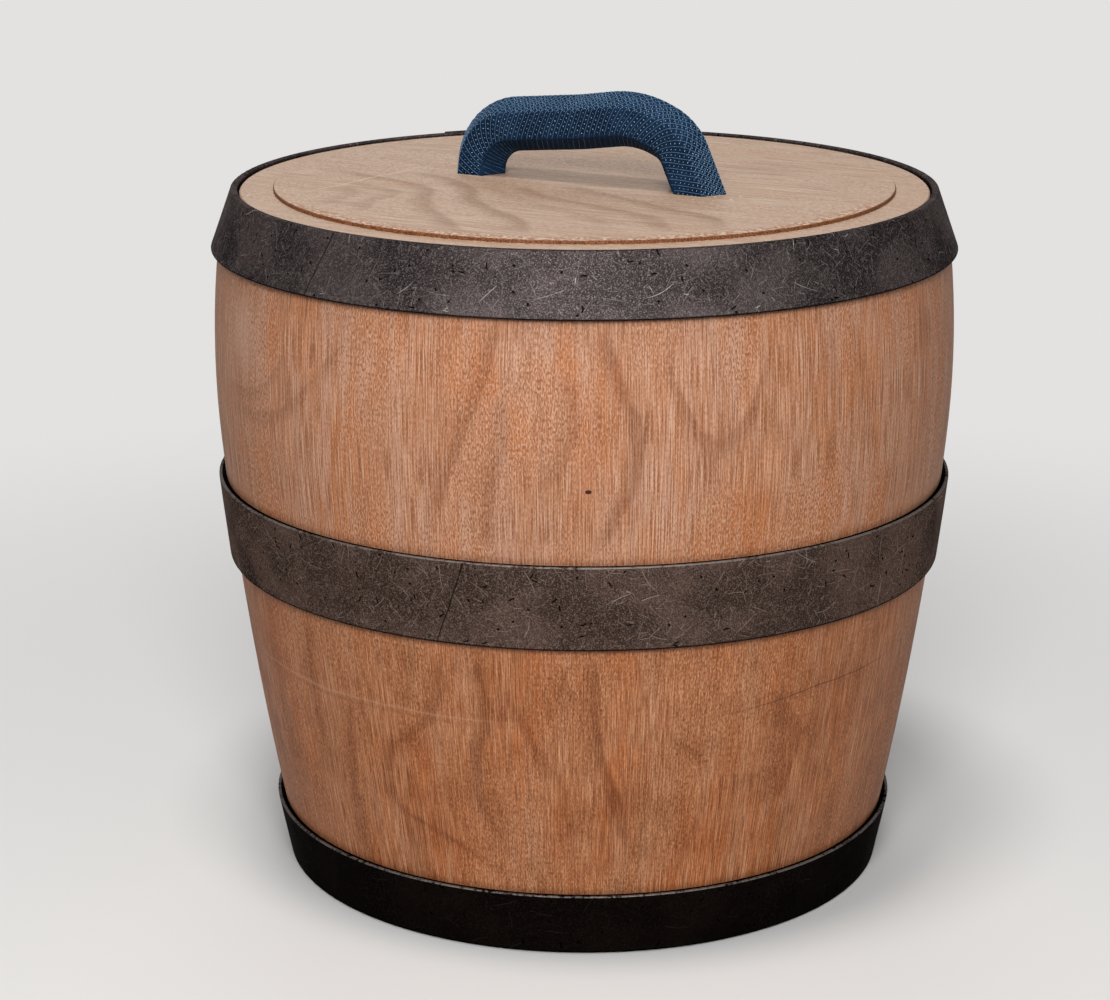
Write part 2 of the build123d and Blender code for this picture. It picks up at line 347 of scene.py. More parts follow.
staveLines = {
    "armLeft": growth(0.8, (-21.9, 0.224), (-19.8, 0.247), (-17.3, 0.274), (-15.0, 0.292), (-11.8, 0.33)),
    "armInner": growth(0.7, (-13.8, 0.212), (-12.7, 0.251), (-11.3, 0.276), (-11.2, 0.297)),
    "heart": growth(0.6, (-5.2, 0.246), (-2.3, 0.267), (-1.2, 0.285), (-2.9, 0.306)),
    "armRight": growth(
        1.0, (1.7, 0.214), (5.2, 0.236), (7.8, 0.258), (7.8, 0.276), (5.8, 0.292), (2.9, 0.33)
    ),
    "plainRight": growth(0.5, (38.0, 0.24), (38.3, 0.28), (37.8, 0.32)),
    "farRight": growth(0.45, (47.3, 0.25), (45.0, 0.28), (42.7, 0.32)),
    "farEdge": growth(0.45, (62.0, 0.24), (61.5, 0.28), (61.0, 0.325)),
    "lowLeft": growth(0.6, (-42.1, 0.036), (-42.0, 0.063), (-41.5, 0.094), (-39.8, 0.13)),
    "swirl": growth(
        0.95, (-10.4, 0.036), (-15.0, 0.046), (-20.8, 0.056), (-26.5, 0.064), (-31.7, 0.072),
        (-34.0, 0.085), (-33.5, 0.101), (-28.8, 0.114), (-23.7, 0.13), (-22.5, 0.166), soft=3.4, crisp=2.0,
        tone="softFigure",
    ),
    "swirlInner": growth(
        0.9, (-11.0, 0.054), (-15.0, 0.072), (-17.0, 0.09), (-16.7, 0.108), (-15.0, 0.13), (-15.6, 0.166),
        tone="softFigure",
    ),
    "swirlHeart": growth(
        0.6, (-5.8, 0.056), (-2.3, 0.072), (-3.0, 0.088), (-5.8, 0.105), (-8.7, 0.123), (-12.1, 0.15)
    ),
    "darkStreak": growth(
        1.0, (7.4, 0.056), (6.3, 0.081), (4.6, 0.099), (2.9, 0.117), (2.3, 0.139), (1.2, 0.168), crisp=1.0,
        tone="softFigure",
    ),
    "besideStreak": growth(0.6, (4.6, 0.042), (4.6, 0.07), (4.4, 0.096)),
    "bowl": growth(
        0.8, (32.9, 0.07), (36.3, 0.0875), (37.5, 0.108), (34.6, 0.126), (29.4, 0.14), soft=9.0, crisp=0.9,
        tone="softFigure",
    ),
    "lowRight": growth(0.5, (46.0, 0.09), (46.0, 0.12), (45.6, 0.145)),
    "edgeLow": growth(0.5, (65.0, 0.05), (66.4, 0.1), (65.2, 0.15)),
    "ashBand": zone("ashenTint", 0.6, 6.0, (10.5, 0.21), (12.0, 0.25), (9.5, 0.34)),
    "ashBandLeft": zone("ashenTint", 0.45, 5.0, (-9.0, 0.24), (-8.0, 0.345)),
    "ashBandLow": zone("ashenTint", 0.75, 5.0, (11.0, 0.03), (10.0, 0.17)),
    "ashBandLowLeft": zone("ashenTint", 0.4, 4.0, (-9.0, 0.03), (-7.0, 0.17)),
    "warmBand": zone("warmTint", 0.7, 5.0, (0.0, 0.2), (2.0, 0.3)),
    "warmBandRight": zone("warmTint", 0.6, 6.0, (25.0, 0.19), (24.0, 0.27)),
    "warmBandLow": zone("warmTint", 0.8, 6.0, (22.0, 0.03), (27.0, 0.14)),
    "warmBandLowLeft": zone("warmTint", 0.7, 8.0, (-24.0, 0.03), (-27.0, 0.12)),
    "ashStripe": zone("ashenTint", 0.3, 0.6, (30.0, 0.03), (30.0, 0.15)),
    "ashStripeFar": zone("ashenTint", 0.25, 1.2, (48.0, 0.03), (48.5, 0.17)),
    "warmStripe": zone("warmTint", 0.45, 2.2, (36.4, 0.08), (36.0, 0.15)),
    "warmStripeLow": zone("warmTint", 0.45, 1.8, (39.0, 0.03), (39.0, 0.08)),
    "warmStripeFar": zone("warmTint", 0.45, 1.8, (52.0, 0.09), (52.0, 0.17)),
}
# Lines that run round the vessel: points are height and bearing, from left to right
staveRounds = {
    "cup": growth(
        0.7, (0.318, 11.0), (0.286, 14.4), (0.269, 19.0), (0.278, 23.0), (0.3, 26.0), (0.32, 28.0),
        soft=0.016, crisp=0.005,
    ),
    "leftWave": growth(
        0.5, (0.2715, -68.0), (0.2737, -57.7), (0.285, -51.9), (0.308, -48.0), soft=0.01, crisp=0.003
    ),
    "leftWaveLow": growth(
        0.5, (0.2625, -66.0), (0.2647, -53.0), (0.2737, -47.3), (0.2917, -41.5), (0.318, -34.0),
        soft=0.01, crisp=0.003,
    ),
    "lowSlope": growth(0.6, (0.123, 12.5), (0.112, 17.3), (0.097, 22.0), soft=0.008, crisp=0.003),
    "creasePale": stripe("pale", 0.28, 0.0011, (0.127, -78.0), (0.1272, -40.0), (0.1268, -4.0)),
    "creaseDark": stripe("dark", 0.4, 0.0016, (0.1246, -78.0), (0.1246, -40.0), (0.1243, -4.0)),
    "scratch": stripe(
        "scratch", 0.8, 0.0007, (0.1278, 19.5), (0.1292, 26.0), (0.1332, 41.0), (0.1346, 52.0),
        (0.137, 64.0),
    ),
}
staveMarks = {
    "waverScale": 26.0,
    "waverAcross": 2.4,
    "waverUp": 0.004,
    "linesBreak": (0.4, 0.6),
    "linesBroken": 0.3,
    "bandsFrom": (58.0, 74.0),
    "knot": (0.6, 0.247),
    "knotReach": (0.65, 0.0014),
    "knotShows": (0.05, 0.35),
    "knotColour": paint(58, 30, 20),
    "patch": (-61.0, 0.3),
    "patchReach": (6.0, 0.034),
    "patchColour": paint(208, 178, 160),
    "patchShare": 0.6,
    # darker, warmer wood towards the bottom: partly the wood's own tone, partly painted shade
    "lowToneAndShade": (0.89, 0.745, 0.58, 1.0),
    "lowFrom": (0.21, 0.15),
    "wallMiddle": ((0.1466, 0.0), (0.1672, 0.114), (0.1813, 0.23), (0.183, 0.28), (0.176, 0.3425)),
    "outsideFrom": (-0.001, 0.001),
    # painted shade: how far and how strongly the wood darkens along the hoops' edges
    "hoopShadeReach": 0.005,
    "hoopShade": (0.62, 0.55, 0.5, 1.0),
    "hoopShadeShare": 0.6,
}
# Fibres and broad clouds of the wood below the middle hoop, each with a dark and a pale tint
lowLayers = (
    {"scale": 1350.0, "drawn": 0.07, "detail": 1.0, "dark": (0.5, 0.36), "pale": (0.52, 0.66),
     "darkTint": (0.74, 0.68, 0.62, 1.0), "paleTint": (1.14, 1.17, 1.2, 1.0)},
    {"scale": 48.0, "drawn": 0.4, "detail": 2.0, "dark": (0.5, 0.34), "pale": (0.52, 0.66),
     "darkTint": (0.83, 0.78, 0.71, 1.0), "paleTint": (1.08, 1.1, 1.12, 1.0)},
)


def staveWood():
    material, board, place = newFinish("staveWood")
    look = woodLooks["stave"]
    marks = staveMarks
    turn, height = unrolled(board, place)
    across = turn * math.degrees(1)
    # the grain runs up the unrolled staves, so that it follows their lean
    sheet = board.node("ShaderNodeCombineXYZ", None, {"X": turn * bodyRadius, "Z": height})
    colour, pores = grain(board, sheet, look, board.ease(abs(across), *marks["bandsFrom"]))
    # darker and warmer towards the bottom: partly the wood's own tone, partly painted shade
    low = board.ease(height, *marks["lowFrom"])
    colour = board.mix(low, colour, marks["lowToneAndShade"], "MULTIPLY")
    for layer in lowLayers:
        drawn = board.vector("MULTIPLY", sheet, drawnAlong(look, layer["drawn"]))
        field = board.noise(drawn, layer["scale"], layer["detail"])
        for shows in ("dark", "pale"):
            seen = low * board.ease(field, *layer[shows])
            colour = board.mix(seen, colour, layer[shows + "Tint"], "MULTIPLY")
    bare = colour
    waver = board.noise(place, marks["waverScale"])
    wavedAcross = across + waver.swing(marks["waverAcross"])
    wavedUp = height + waver.swing(marks["waverUp"])
    broken = board.ease(pores, *marks["linesBreak"]) * marks["linesBroken"] + (1 - marks["linesBroken"])
    for lines, aside, along in ((staveLines, wavedAcross, height), (staveRounds, wavedUp, across)):
        for line in lines.values():
            mark = drawnLine(board, aside, along, line) * broken * line["share"]
            colour = board.mix(mark, colour, look[line["tone"]], line["blend"])
    patch = oval(board, across, height, marks["patch"], marks["patchReach"]) * pores
    colour = board.mix(patch * marks["patchShare"], colour, marks["patchColour"])
    knot = oval(board, wavedAcross, height, marks["knot"], marks["knotReach"])
    colour = board.mix(board.ease(knot, *marks["knotShows"]), colour, marks["knotColour"])
    # painted shade in the corner where a hoop sits on the wood: the wood is darkened along each hoop's
    # edges
    hoopEdges = [edge.z for hoop in ("bottom", "middle", "top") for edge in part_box(hoop + "_hoop")]
    for edge in hoopEdges[1:-1]:
        near = board.ease(abs(height - edge), marks["hoopShadeReach"], 0.0) * marks["hoopShadeShare"]
        colour = board.mix(near, colour, marks["hoopShade"], "MULTIPLY")
    # the marks lie on the outer face alone
    x, y, _ = board.axes(place)
    beyond = (x * x + y * y).root() - lineAt(board, height, marks["wallMiddle"])[0]
    colour = board.mix(board.ease(beyond, *marks["outsideFrom"]), bare, colour)
    closeWood(board, colour, pores)
    return material


# Marks on the lid. Points are right and away from the photograph's camera, from near to far.
def lidGrowth(share, *points):
    return growth(share, *points, soft=0.013, crisp=0.005)


lidLines = {
    "outer": lidGrowth(
        0.9, (-0.052, -0.146), (-0.06, -0.13), (-0.068, -0.104), (-0.075, -0.08), (-0.078, -0.052),
        (-0.077, -0.032), (-0.086, -0.012), (-0.1, 0.004), (-0.114, 0.018), (-0.138, 0.04),
    ),
    "middle": lidGrowth(
        1.0, (-0.03, -0.15), (-0.028, -0.128), (-0.032, -0.108), (-0.04, -0.088), (-0.05, -0.068),
        (-0.055, -0.048), (-0.057, -0.028), (-0.064, -0.006), (-0.074, 0.012), (-0.096, 0.034),
    ),
    "between": lidGrowth(
        0.4, (0.016, -0.14), (0.004, -0.104), (-0.012, -0.08), (-0.028, -0.056), (-0.042, -0.03),
        (-0.054, -0.004),
    ),
    "inner": lidGrowth(
        0.7, (0.04, -0.144), (0.036, -0.112), (0.026, -0.092), (0.012, -0.076), (-0.008, -0.056),
        (-0.024, -0.036), (-0.034, -0.01),
    ),
    "right": lidGrowth(
        0.8, (0.066, -0.136), (0.06, -0.102), (0.044, -0.082), (0.028, -0.06), (0.008, -0.036),
        (-0.008, -0.01),
    ),
    "rim": lidGrowth(0.5, (-0.13, -0.07), (-0.122, -0.052), (-0.116, -0.036), (-0.128, -0.012)),
    "rimInner": lidGrowth(
        0.6, (-0.112, -0.092), (-0.106, -0.076), (-0.104, -0.056), (-0.094, -0.038), (-0.108, -0.016),
        (-0.128, 0.006),
    ),
    "crease": stripe("crease", 0.6, 0.0012, (-0.142, -0.038), (-0.112, 0.006), (-0.082, 0.051)),
}
lidMarks = {
    "fieldRadius": 0.1591,
    "fieldRise": 0.0021,
    "stepEase": 0.00025,
    # the step's brown: bare end grain, darkened further as painted shade
    "stepDarkShaded": paint(92, 53, 31),
    "stepPale": paint(138, 90, 59),
    "stepScale": 1300.0,
    "stepMottle": (0.38, 0.62),
    "fuzzWidth": 0.012,
    "fuzzFull": 0.004,
    "fuzzScale": 520.0,
    "fuzzFront": (-0.03, -0.09),
    "fuzzBrown": paint(156, 112, 82),
    "brownShows": (0.53, 0.43),
    "fuzzPale": paint(206, 180, 156),
    "paleShows": (0.55, 0.63),
    "waverScale": 40.0,
    "waver": 0.008,
    "bandsFrom": (-0.02, 0.03),
    "specks": (0.082, -0.012),
    "specksReach": (0.024, 0.022),
    "specksEnd": (0.05, 0.3),
    "speckScale": 190.0,
    "speckRim": (0.2, 0.1),
    "speckShare": 0.8,
    "speckColour": paint(236, 224, 210),
}


def lidWood():
    material, board, place = newFinish("lidWood")
    marks = lidMarks
    look = woodLooks["lid"]
    x, y, z = board.axes(place)
    turn = frontBearing + math.pi / 2
    right = x * math.cos(turn) + y * math.sin(turn)
    away = y * math.cos(turn) - x * math.sin(turn)
    colour, pores = grain(board, place, look, board.ease(away, *marks["bandsFrom"]))
    waved = right + board.noise(place, marks["waverScale"]).swing(marks["waver"])
    for line in lidLines.values():
        mark = drawnLine(board, waved, away, line) * line["share"]
        colour = board.mix(mark, colour, look[line["tone"]], line["blend"])
    # a few white specks by the right foot
    near = oval(board, x, y, marks["specks"], marks["specksReach"])
    values = {"Vector": place, "Scale": marks["speckScale"]}
    cells = board.node("ShaderNodeTexVoronoi", None, values, "Distance")
    speck = board.ease(cells, *marks["speckRim"]) * board.ease(near, *marks["specksEnd"])
    colour = board.mix(speck * marks["speckShare"], colour, marks["speckColour"])
    # worn, fuzzy rim of the raised field, and the bare brown step below it, darker as bare end grain and
    # with painted shade
    radius = (x * x + y * y).root()
    rim = marks["fieldRadius"]
    worn = board.ease(radius, rim - marks["fuzzWidth"], rim - marks["fuzzFull"])
    worn = worn * board.ease(radius, rim + marks["stepEase"], rim) * board.ease(away, *marks["fuzzFront"])
    fuzz = board.noise(place, marks["fuzzScale"])
    colour = board.mix(board.ease(fuzz, *marks["brownShows"]) * worn, colour, marks["fuzzBrown"])
    colour = board.mix(board.ease(fuzz, *marks["paleShows"]) * worn, colour, marks["fuzzPale"])
    foot = lidTop - marks["fieldRise"]
    step = board.ease(z, foot, foot + marks["stepEase"]) * board.ease(z, lidTop, lidTop - marks["stepEase"])
    step = step * board.ease(radius, rim - marks["fuzzWidth"], rim)
    rough = board.noise(place, marks["stepScale"])
    bare = board.mix(board.ease(rough, *marks["stepMottle"]), marks["stepDarkShaded"], marks["stepPale"])
    colour = board.mix(step, colour, bare)
    closeWood(board, colour, pores)
    return material


# Iron: clouded and speckled, each hoop with its own depth of colour; the bottom hoop's much darker colour
# is painted shade
ironLooks = {
    "top": {
        "base": paint(61, 54, 54),
        "cloud": paint(89, 79, 78),
        "fleck": paint(136, 127, 124),
        "pit": paint(24, 20, 20),
        "bright": paint(206, 198, 194),
        "wear": 1.0,
        "ledge": 0.0,
        "weld": (-42.0, 0.343),
    },
    "middle": {
        "base": paint(71, 57, 51),
        "cloud": paint(97, 78, 71),
        "fleck": paint(146, 128, 118),
        "pit": paint(16, 13, 12),
        "bright": paint(176, 164, 154),
        "wear": 1.0,
        "ledge": 1.0,
        "weld": (-19.6, 0.189),
    },
    # painted shade: every tone of the bottom hoop is made far darker, with fewer bright scratches
    "bottom": {
        "base": paint(22, 18, 17),
        "cloud": paint(29, 24, 22),
        "fleck": paint(44, 38, 35),
        "pit": paint(5, 4, 4),
        "bright": paint(84, 78, 74),
        "wear": 0.35,
        "ledge": 1.0,
        "weld": (-150.0, 0.017),
    },
}
# Marks strewn over the strip, one to a cell: how far apart, how long and wide, how bent, and how many show
ironMarks = (
    {"tone": "bright", "pitch": 0.026, "length": 0.009, "half": 0.00025, "curl": 40.0, "few": 0.45,
     "share": 0.65, "shift": (0.0, 0.0, 0.0)},
    {"tone": "bright", "pitch": 0.019, "length": 0.0062, "half": 0.00025, "curl": 70.0, "few": 0.42,
     "share": 0.65, "shift": (0.37, 0.11, 0.0)},
    {"tone": "fleck", "pitch": 0.013, "length": 0.0075, "half": 0.00025, "curl": 45.0, "few": 0.65,
     "share": 0.7, "shift": (0.59, 0.41, 0.0)},
    {"tone": "fleck", "pitch": 0.0062, "length": 0.0034, "half": 0.00024, "curl": 90.0, "few": 0.7,
     "share": 0.75, "shift": (0.19, 0.53, 0.0)},
    {"tone": "bright", "pitch": 0.0085, "length": 0.0017, "half": 0.0003, "curl": 60.0, "few": 0.14,
     "share": 0.6, "shift": (0.71, 0.29, 0.0)},
    {"tone": "pit", "pitch": 0.0115, "length": 0.0021, "half": 0.0006, "curl": 300.0, "few": 0.26,
     "share": 1.0, "shift": (0.83, 0.67, 0.0)},
    {"tone": "pit", "pitch": 0.0074, "length": 0.0009, "half": 0.0008, "curl": 0.0, "few": 0.16,
     "share": 1.0, "shift": (0.47, 0.91, 0.0)},
)
ironGrain = {
    "cloudScale": 30.0,
    "cloudShows": (0.36, 0.64),
    "mottleScale": 520.0,
    "mottleShows": (0.52, 0.72),
    "mottleShare": 0.35,
    "speckScale": 1500.0,
    "paleSpecks": (0.53, 0.68),
    "darkSpecks": (0.46, 0.32),
    "speckShare": 0.62,
    "patchScale": 30.0,
    "patchShows": (0.34, 0.6),
    "ledgeWorn": paint(134, 126, 121),
    # painted shade: black in the crevice behind a hoop's upper edge
    "creviceShadeBlack": paint(8, 7, 7),
    "ledgeShows": (0.75, 1.1),
    "ledgeDepth": 0.0007,
    "creviceShare": 0.62,
    # painted shade: a dark line along a hoop's lower edge
    "underShadeLine": 0.0012,
    "underShadeShare": 0.85,
    "weldHalf": 0.0005,
    "weldLean": 0.35,
    "weldWander": 0.006,
    "weldShare": 0.75,
    "bumpDepth": 0.00012,
    "roughness": 0.64,
    "roughSpread": 0.3,
    "metallic": 0.9,
    "edgeTint": (0.2, 0.2, 0.2, 1.0),
    "gloss": 0.2,
}


# One layer of marks: every cell of the unrolled sheet holds a short stroke at its own lean
def strewn(board, sheet, mark):
    moved = board.vector("ADD", sheet, mark["shift"])
    values = {"Vector": moved, "Scale": 1 / mark["pitch"]}
    chance = board.node("ShaderNodeTexVoronoi", {"voronoi_dimensions": "2D"}, values, "Color")
    across, up, _ = board.axes(board.vector("SUBTRACT", moved, chance.beside("Position")))
    drawn, leaning, bent = board.axes(chance)
    lean = leaning * math.tau
    run = across * lean.cosine() + up * lean.sine()
    side = up * lean.cosine() - across * lean.sine() + bent.swing(mark["curl"]) * run * run
    stroke = board.ease(abs(side), mark["half"], mark["half"] / 4)
    stroke = stroke * board.ease(abs(run), mark["length"], mark["length"] / 2)
    return stroke * drawn.maths("LESS_THAN", drawn, mark["few"])


# Inner and outer radius of a hoop's upper edge, on the side away from its lap
def ledgeRadii(name):
    mesh = nodes[name + "_hoop"].data
    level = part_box(name + "_hoop")[1].z - ironGrain["ledgeDepth"]
    away = (math.cos(middleBearing), math.sin(middleBearing))
    rims = [spot.co.xy.length for spot in mesh.vertices if spot.co.z > level and spot.co.xy.dot(away) > 0]
    return min(rims), max(rims)


def hoopIron(name):
    material, board, place = newFinish(name + "HoopIron")
    look = ironLooks[name]
    made = ironGrain
    turn, height = unrolled(board, place)
    along = turn * bodyRadius
    sheet = board.node("ShaderNodeCombineXYZ", None, {"X": along, "Y": height})
    speck = board.noise(place, made["speckScale"])
    mottle = board.noise(place, made["mottleScale"])
    cloud = board.noise(place, made["cloudScale"])
    colour = board.mix(board.ease(cloud, *made["cloudShows"]), look["base"], look["cloud"])
    mottled = board.ease(mottle, *made["mottleShows"]) * made["mottleShare"]
    colour = board.mix(mottled, colour, look["fleck"])
    colour = board.mix(board.ease(speck, *made["paleSpecks"]) * made["speckShare"], colour, look["fleck"])
    colour = board.mix(board.ease(speck, *made["darkSpecks"]) * made["speckShare"], colour, look["pit"])
    patchy = board.ease(board.noise(sheet, made["patchScale"]), *made["patchShows"])
    cut = 0.0
    for mark in ironMarks:
        stroke = strewn(board, sheet, mark)
        if mark["tone"] != "pit":
            stroke = stroke * patchy * look["wear"]
        colour = board.mix(stroke * mark["share"], colour, look[mark["tone"]])
        cut = stroke.most(cut)
    # the thin dark line where the strip was welded
    weldTurn, weldHeight = look["weld"]
    weld = along - math.radians(weldTurn) * bodyRadius - (height - weldHeight) * made["weldLean"]
    weld = weld + cloud.swing(made["weldWander"])
    weld = board.ease(abs(weld), made["weldHalf"], made["weldHalf"] / 2)
    colour = board.mix(weld * made["weldShare"], colour, look["pit"])
    # worn upper edge with painted black shade in the crevice behind it, and a painted shade line along the
    # lower edge
    low, high = (corner.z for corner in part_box(name + "_hoop"))
    inner, outer = ledgeRadii(name)
    x, y, _ = board.axes(place)
    radius = (x * x + y * y).root()
    crevice = inner + (outer - inner) * made["creviceShare"]
    ledge = board.ease(height, high - made["ledgeDepth"], high - made["ledgeDepth"] / 2) * look["ledge"]
    colour = board.mix(ledge * board.ease(cloud + mottle, *made["ledgeShows"]), colour, made["ledgeWorn"])
    creviceShade = board.ease(radius, crevice, crevice - made["ledgeDepth"] / 4)
    colour = board.mix(creviceShade * ledge, colour, made["creviceShadeBlack"])
    under = board.ease(height, low + made["underShadeLine"], low + made["underShadeLine"] / 2)
    colour = board.mix(under * made["underShadeShare"], colour, look["pit"])
    roughness = made["roughness"] + mottle.swing(made["roughSpread"])
    fixed = {
        "Metallic": made["metallic"],
        "Specular IOR Level": made["gloss"],
        "Specular Tint": made["edgeTint"],
    }
    close(board, shade(board, colour, roughness, mottle - cut, made["bumpDepth"], fixed))
    return material


plainMetals = {
    "topRivet": {"base": paint(70, 64, 64), "wear": paint(120, 112, 109), "metallic": 0.3},
    "middleRivet": {"base": paint(54, 46, 43), "wear": paint(104, 94, 88), "metallic": 0.3},
    # painted shade: the bottom hoop's rivets are made darker like their hoop
    "bottomRivetShaded": {"base": paint(22, 19, 18), "wear": paint(64, 58, 55), "metallic": 0.3},
    "screwSteel": {"base": paint(150, 146, 140), "wear": paint(188, 184, 178), "metallic": 0.9},
    "washerSteel": {"base": paint(164, 160, 154), "wear": paint(196, 192, 186), "metallic": 0.9},
}
metalGrain = {
    "scale": 700.0,
    "detail": 4.0,
    "wearShows": (0.42, 0.66),
    "roughness": 0.42,
    "roughSpread": 0.3,
    "bumpDepth": 0.00008,
}


def plainMetal(name):
    material, board, place = newFinish(name)
    look = plainMetals[name]
    made = metalGrain
    mottle = board.noise(place, made["scale"], made["detail"])
    colour = board.mix(board.ease(mottle, *made["wearShows"]), look["base"], look["wear"])
    roughness = made["roughness"] + mottle.swing(made["roughSpread"])
    close(board, shade(board, colour, roughness, mottle, made["bumpDepth"], {"Metallic": look["metallic"]}))
    return material


screwSteel = plainMetal("screwSteel")
dowelFinish = plainWood("dowel")
finishes = {
    "stave": staveWood(),
    "bottom_board": plainWood("bottom"),
    "bottom_dowels": dowelFinish,
    "lid_board": lidWood(),
    "lid_dowels": dowelFinish,
    "lid_batten": plainWood("batten"),
    "top_hoop_rivets": plainMetal("topRivet"),
    "middle_hoop_rivets": plainMetal("middleRivet"),
    "bottom_hoop_rivets": plainMetal("bottomRivetShaded"),
    "top_hoop": hoopIron("top"),
    "middle_hoop": hoopIron("middle"),
    "bottom_hoop": hoopIron("bottom"),
    "batten_screws": screwSteel,
    "handle_screws": screwSteel,
    "handle_washers": plainMetal("washerSteel"),
    "handle_core": plainWood("handle"),
}
for label, node in nodes.items():
    kinds = [kind for kind in finishes if label.startswith(kind)]
    if kinds:
        node.data.materials.clear()
        node.data.materials.append(finishes[max(kinds, key=len)])
print("finishes laid on the frame's nodes")


# Handle sleeve: cloth drawn over the bow, with raised threads that wind round it
sleeve = {
    # right along the lid and up from it; the legs run on below the lid and are cut level with it
    "corners": (
        (-0.06275, -0.0141),
        (-0.0582, 0.0248),
        (-0.0007, 0.0304),
        (0.0314, 0.0352),
        (0.0539, 0.0255),
        (0.0711, -0.01296),
    ),
    "bends": (0.0, 0.0246, 0.12, 0.047, 0.0216, 0.0),
    "bendPoints": 14,
    "radius": 0.0142,
    "cornerRadius": 0.0013,
    "cornerPoints": 4,
    "wall": 0.0011,
    "ringStep": 0.0016,
    "footGap": 0.0001,
    "flat": (0.084, 0.16),
    "sharpFrom": 35,
}
threads = {
    "starts": 16,
    "turnRate": 130.0,  # radians for each metre of the bow
    "crownLag": 0.45,
    "samples": 330,
    "thickness": 0.00017,
    "sides": 4,
    "lift": 0.00003,
    "sink": 0.0004,
    "crownShows": (0.46, 0.54),  # the crossing threads come up where the face looks up
    "knotCount": 168,
    "knotLength": 0.00045,
    "knotWidth": 0.00021,
    "knotHeight": 0.00016,
    "crossOffset": 0.25,  # shares of the way from one winding to the next
    "knotOffset": 0.5,
    "windTone": 0.08,
    "crossTone": 0.08,
    # painted light: the threads are made paler where the face looks up
    "crownLightTone": 0.04,
    "underside": (-0.3, -0.55),  # the knots end there and the windings lie deeper
    "lineSink": 0.00014,
    "knotTones": (0.3, 0.85),
    "seed": 11,
}
hexSides = 6
wedge = 2 * math.pi / hexSides


def newTree(name, sizes):
    tree = bpy.data.node_groups.new(name, "GeometryNodeTree")
    tree.interface.new_socket("Geometry", in_out="INPUT", socket_type="NodeSocketGeometry")
    tree.interface.new_socket("Geometry", in_out="OUTPUT", socket_type="NodeSocketGeometry")
    for label, value in sizes.items():
        kind = "NodeSocketInt" if isinstance(value, int) else "NodeSocketFloat"
        tree.interface.new_socket(label, in_out="INPUT", socket_type=kind)
    board = Board(tree)
    entry = tree.nodes.new("NodeGroupInput")
    return tree, board, {socket.name: Wire(board, socket) for socket in entry.outputs if socket.name}


def grow(name, tree, sizes):
    line = bpy.data.meshes.new(name + "Line")
    points = [(x, 0.0, lidTop + rise) for x, rise in sleeve["corners"]]
    line.from_pydata(points, [(at, at + 1) for at in range(len(points) - 1)], [])
    bend = line.attributes.new("bend", "FLOAT", "POINT")
    bend.data.foreach_set("value", sleeve["bends"])
    maker = bpy.data.objects.new(name + "Maker", line)
    bpy.context.scene.collection.objects.link(maker)
    modifier = maker.modifiers.new("grow", "NODES")
    modifier.node_group = tree
    for item in tree.interface.items_tree:
        if item.in_out == "INPUT" and item.name in sizes:
            modifier[item.identifier] = sizes[item.name]
    shape = maker.evaluated_get(bpy.context.evaluated_depsgraph_get())
    mesh = bpy.data.meshes.new_from_object(shape)
    bpy.data.objects.remove(maker)
    piece = bpy.data.objects.new(name, mesh)
    bpy.context.scene.collection.objects.link(piece)
    return piece


def cutLevel(mesh, height, fill):  # takes off what lies below a height, and closes the cut where asked
    shape = bmesh.new()
    shape.from_mesh(mesh)
    everything = shape.verts[:] + shape.edges[:] + shape.faces[:]
    cut = bmesh.ops.bisect_plane(
        shape, geom=everything, plane_co=(0.0, 0.0, height), plane_no=(0.0, 0.0, 1.0), clear_inner=True
    )
    if fill:
        rims = [part for part in cut["geom_cut"] if isinstance(part, bmesh.types.BMEdge)]
        bmesh.ops.edgeloop_fill(shape, edges=rims)
    shape.to_mesh(mesh)
    shape.free()


# The bow's centreline: straight runs with a bend of its own at each corner
def bowLine(board, geometry):
    line = board.node("GeometryNodeMeshToCurve", None, {"Mesh": geometry})
    bend = board.node("GeometryNodeInputNamedAttribute", {"data_type": "FLOAT"}, {"Name": "bend"})
    values = {"Curve": line, "Count": sleeve["bendPoints"], "Limit Radius": True, "Radius": bend}
    return board.node("GeometryNodeFilletCurve", {"mode": "POLY"}, values)


def sleeveTree(material):
    sizes = {"Radius": sleeve["radius"], "Corner": sleeve["cornerRadius"], "Ring Step": sleeve["ringStep"]}
    tree, board, entry = newTree("handleSleeveTree", sizes)
    bow = bowLine(board, entry["Geometry"])
    values = {"Curve": bow, "Length": entry["Ring Step"]}
    bow = board.node("GeometryNodeResampleCurve", {"mode": "LENGTH"}, values)
    values = {"Curve": bow, "Normal": (0.0, 1.0, 0.0)}
    bow = board.node("GeometryNodeSetCurveNormal", {"mode": "FREE"}, values)
    values = {"Resolution": hexSides, "Radius": entry["Radius"]}
    hexagon = board.node("GeometryNodeCurvePrimitiveCircle", None, values)
    turn = (0.0, 0.0, math.pi / 2)
    hexagon = board.node("GeometryNodeTransform", None, {"Geometry": hexagon, "Rotation": turn})
    points = sleeve["cornerPoints"]
    values = {"Curve": hexagon, "Count": points, "Limit Radius": True, "Radius": entry["Corner"]}
    hexagon = board.node("GeometryNodeFilletCurve", {"mode": "POLY"}, values)
    skin = board.node("GeometryNodeCurveToMesh", None, {"Curve": bow, "Profile Curve": hexagon})
    skin = board.node("GeometryNodeRealizeInstances", None, {"Geometry": skin})
    skin = board.node("GeometryNodeSetMaterial", None, {"Geometry": skin, "Material": material})
    board.node("NodeGroupOutput", None, {"Geometry": skin})
    return tree, sizes


